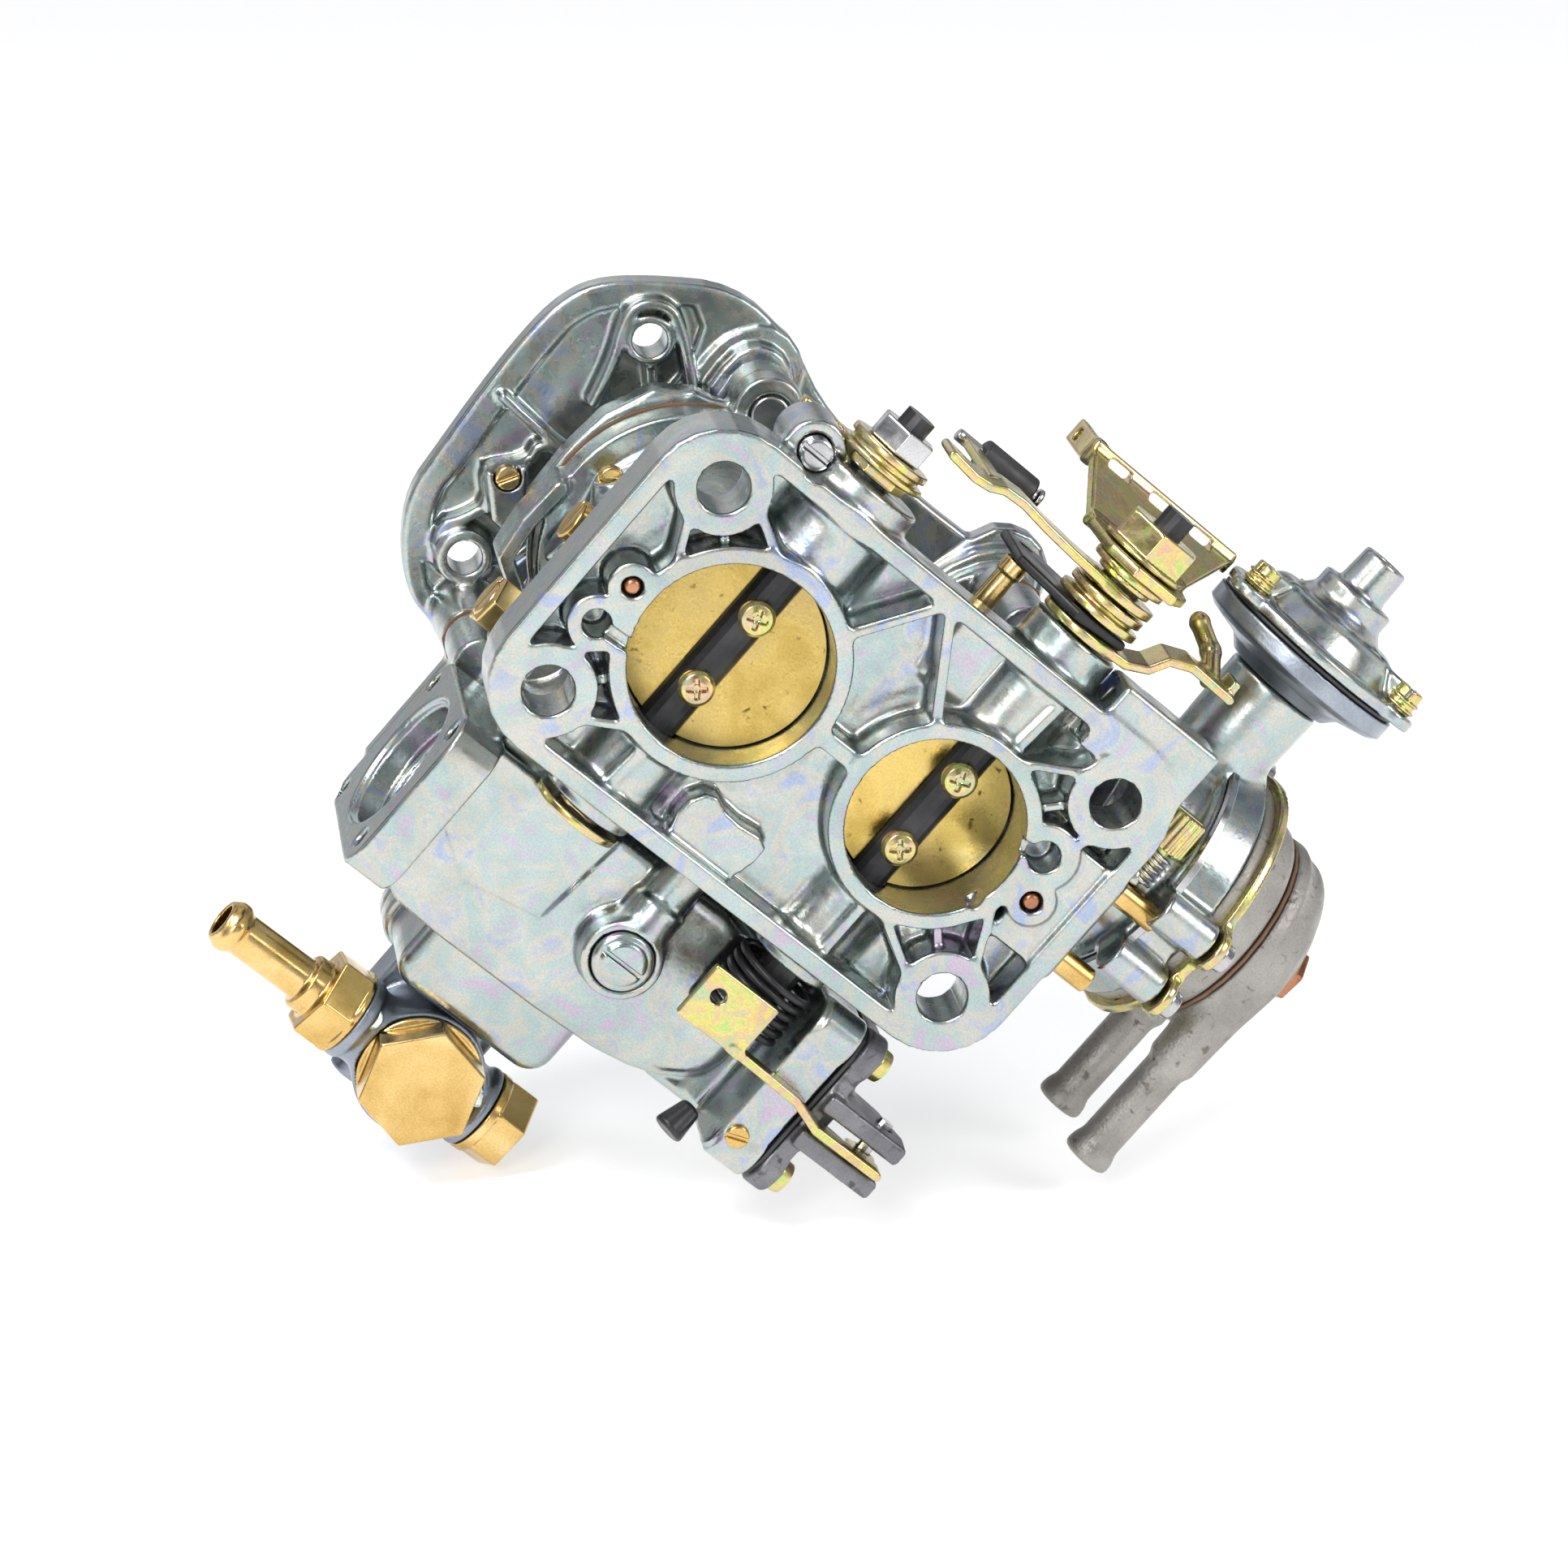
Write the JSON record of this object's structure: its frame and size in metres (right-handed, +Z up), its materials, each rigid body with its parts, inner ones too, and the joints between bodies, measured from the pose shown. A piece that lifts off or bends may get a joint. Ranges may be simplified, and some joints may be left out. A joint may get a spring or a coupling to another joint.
{
  "type": "carburetor",
  "caption": "Twin-barrel downdraught carburetor with a pocketed base flange, float bowl, diaphragm pump, throttle levers and a water-heated automatic choke.",
  "frame": {"origin": "middle of the base flange's bottom face, on the web between the two bores", "axes": "+X from the secondary bore to the primary bore and on to the automatic choke; +Y along the throttle shafts towards the float bowl and fuel inlet; +Z up through the bores to the air horn"},
  "size_m": [0.177, 0.1979, 0.09],
  "materials": {
    "cast_zinc": "bluish-grey die-cast zinc with a faint iridescent passivation, satin",
    "rough_cast": "rough warm-grey casting, blasted",
    "dark_cast": "dark grey casting, semi-matt",
    "brass": "polished yellow brass",
    "plate_brass": "rolled golden brass with fine specks",
    "yellow_zinc": "steel with yellow zinc plating and green and pink iridescence",
    "bright_steel": "clean bright steel",
    "black_steel": "black oxide steel",
    "gasket": "brown fibre gasket",
    "black_rubber": "black fabric-backed rubber",
    "float_plastic": "black moulded float"
  },
  "bodies": {
    "casting": {"main_body": "cast_zinc", "cover_gasket": "gasket", "air_horn": "cast_zinc", "primary_spacer": "bright_steel", "secondary_end_cap": "yellow_zinc", "throttle_spring": "black_steel", "secondary_stop_screw": "yellow_zinc", "float_pin": "bright_steel", "booster_secondary": "cast_zinc", "booster_primary": "cast_zinc", "bowl_plug": "bright_steel", "brass_plug": "brass", "idle_jet_holder": "brass", "vacuum_tube_1": "brass", "vacuum_tube_2": "brass", "fuel_inlet_block": "dark_cast", "filter_plug": "brass", "hose_barb": "brass", "inlet_plug": "brass", "pump_diaphragm": "black_rubber", "pump_cover": "dark_cast", "pump_pin": "bright_steel", "pump_screw_1": "yellow_zinc", "pump_screw_2": "yellow_zinc", "pump_screw_3": "yellow_zinc", "pump_screw_4": "yellow_zinc", "choke_housing": "cast_zinc", "bimetal_cover": "rough_cast", "retaining_ring": "yellow_zinc", "jacket_gasket": "gasket", "water_jacket": "rough_cast", "jacket_bolt": "yellow_zinc", "pulldown_body": "dark_cast", "pulldown_cover": "cast_zinc"},
    "primary_throttle": {"primary_shaft": "black_steel", "primary_plate": "plate_brass", "primary_plate_screw_1": "yellow_zinc", "primary_plate_screw_2": "yellow_zinc", "throttle_lever": "yellow_zinc", "throttle_nut": "yellow_zinc", "throttle_bush": "yellow_zinc", "idle_stop_plate": "black_steel"},
    "secondary_throttle": {"secondary_shaft": "black_steel", "secondary_plate": "plate_brass", "secondary_plate_screw_1": "yellow_zinc", "secondary_plate_screw_2": "yellow_zinc", "secondary_lever": "yellow_zinc", "secondary_nut": "bright_steel"},
    "progression": {"progression_lever": "yellow_zinc"},
    "fast_idle": {"fast_idle_lever": "yellow_zinc"},
    "pump_arm": {"pump_lever": "yellow_zinc"},
    "plunger": {"pump_plunger": "bright_steel"},
    "float_body": {"float": "float_plastic"},
    "needle": {"needle_valve": "brass"},
    "choke_flaps": {"choke_shaft": "bright_steel", "choke_flap_secondary": "plate_brass", "choke_flap_primary": "plate_brass"},
    "choke_link": {"choke_rod": "bright_steel"},
    "idle_adjuster": {"idle_screw": "brass"},
    "mixture_adjuster": {"mixture_screw": "yellow_zinc"}
  },
  "joints": [
    {"name": "primary_throttle_turn", "type": "hinge", "parent": "casting", "child": "primary_throttle", "pos_m": [0.02345, 0, 0.012], "axis": [0, -1, 0], "range_deg": [0, 78], "stiffness_Nm_per_rad": 0.06, "springref_deg": -34.38},
    {"name": "secondary_throttle_turn", "type": "hinge", "parent": "casting", "child": "secondary_throttle", "pos_m": [-0.02385, 0, 0.012], "axis": [0, 1, 0], "range_deg": [0, 75], "stiffness_Nm_per_rad": 0.06, "springref_deg": -34.38},
    {"name": "progression_lever_turn", "type": "hinge", "parent": "casting", "child": "progression", "pos_m": [0.02345, 0, 0.012], "axis": [0, -1, 0], "range_deg": [0, 27.5]},
    {"name": "fast_idle_lever_turn", "type": "hinge", "parent": "casting", "child": "fast_idle", "pos_m": [0.02345, 0, 0.012], "axis": [0, -1, 0], "range_deg": [-10, 20]},
    {"name": "pump_lever_turn", "type": "hinge", "parent": "casting", "child": "pump_arm", "pos_m": [0.057, 0.056, 0.009], "axis": [0, -1, 0], "range_deg": [0, 6], "stiffness_Nm_per_rad": 0.05, "springref_deg": -34.38},
    {"name": "pump_plunger_slide", "type": "slide", "parent": "casting", "child": "plunger", "axis": [-1, 0, 0], "range_m": [0, 0.0018]},
    {"name": "float_turn", "type": "hinge", "parent": "casting", "child": "float_body", "pos_m": [-0.004, 0.082, 0.064], "axis": [1, 0, 0], "range_deg": [0, 8]},
    {"name": "needle_valve_slide", "type": "slide", "parent": "casting", "child": "needle", "axis": [0, 0, -1], "range_m": [0, 0.0013]},
    {"name": "choke_turn", "type": "hinge", "parent": "casting", "child": "choke_flaps", "pos_m": [0, 0, 0.08], "axis": [-1, 0, 0], "range_deg": [0, 80], "stiffness_Nm_per_rad": 0.01, "springref_deg": -34.38},
    {"name": "choke_rod_slide", "type": "slide", "parent": "casting", "child": "choke_link", "axis": [0, 0, -1], "range_m": [0, 0.01]},
    {"name": "idle_screw_turn", "type": "hinge", "parent": "casting", "child": "idle_adjuster", "pos_m": [0.0095, -0.036, 0.0205], "axis": [0, 1, 0], "range_deg": [-360, 360]},
    {"name": "mixture_screw_turn", "type": "hinge", "parent": "casting", "child": "mixture_adjuster", "pos_m": [0.0616, -0.022, 0.01], "axis": [0, 1, 0], "range_deg": [-360, 360]}
  ],
  "couplings": [
    {"joint": "progression_lever_turn", "follows": "secondary_throttle_turn", "ratio": 0.36},
    {"joint": "pump_plunger_slide", "follows": "pump_lever_turn", "m_per_rad": 0.016},
    {"joint": "needle_valve_slide", "follows": "float_turn", "m_per_rad": 0.0086},
    {"joint": "choke_rod_slide", "follows": "choke_turn", "m_per_rad": 0.007}
  ]
}
